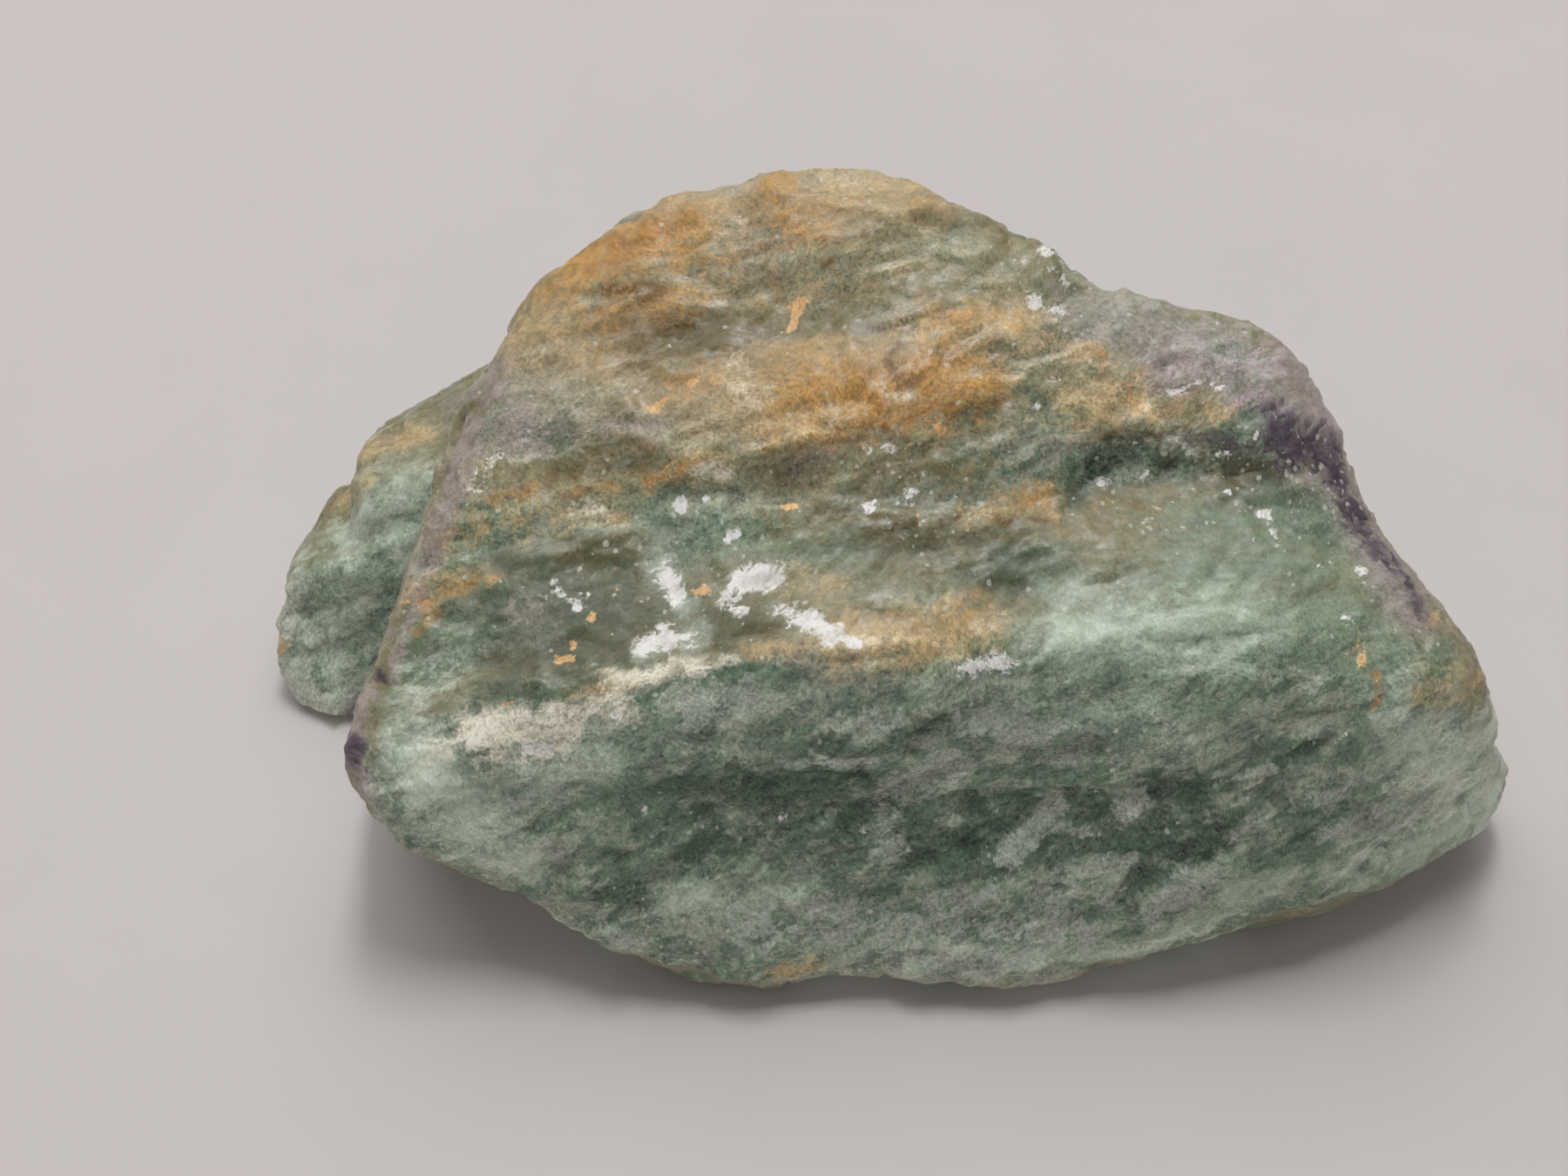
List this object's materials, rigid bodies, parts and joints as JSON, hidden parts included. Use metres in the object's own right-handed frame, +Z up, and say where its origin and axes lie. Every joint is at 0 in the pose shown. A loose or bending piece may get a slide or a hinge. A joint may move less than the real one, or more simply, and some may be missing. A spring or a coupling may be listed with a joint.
{
  "type": "rainbow fluorite specimen",
  "caption": "Rough palm-sized chunk of green and purple rainbow fluorite with ochre stains, lying on its broken underside as a display stone.",
  "frame": {"origin": "on the table, under the middle of the stone's bounding box", "axes": "+Z up, +X along the stone's length towards its right-hand end, -Y towards its front"},
  "size_m": [0.118, 0.062, 0.0515],
  "materials": {
    "fluorite": "translucent milky green fluorite with purple and ochre bands, glassy on cleavage faces and frosty on bruises"
  },
  "bodies": {
    "root": {"fluorite": "fluorite"}
  },
  "joints": []
}
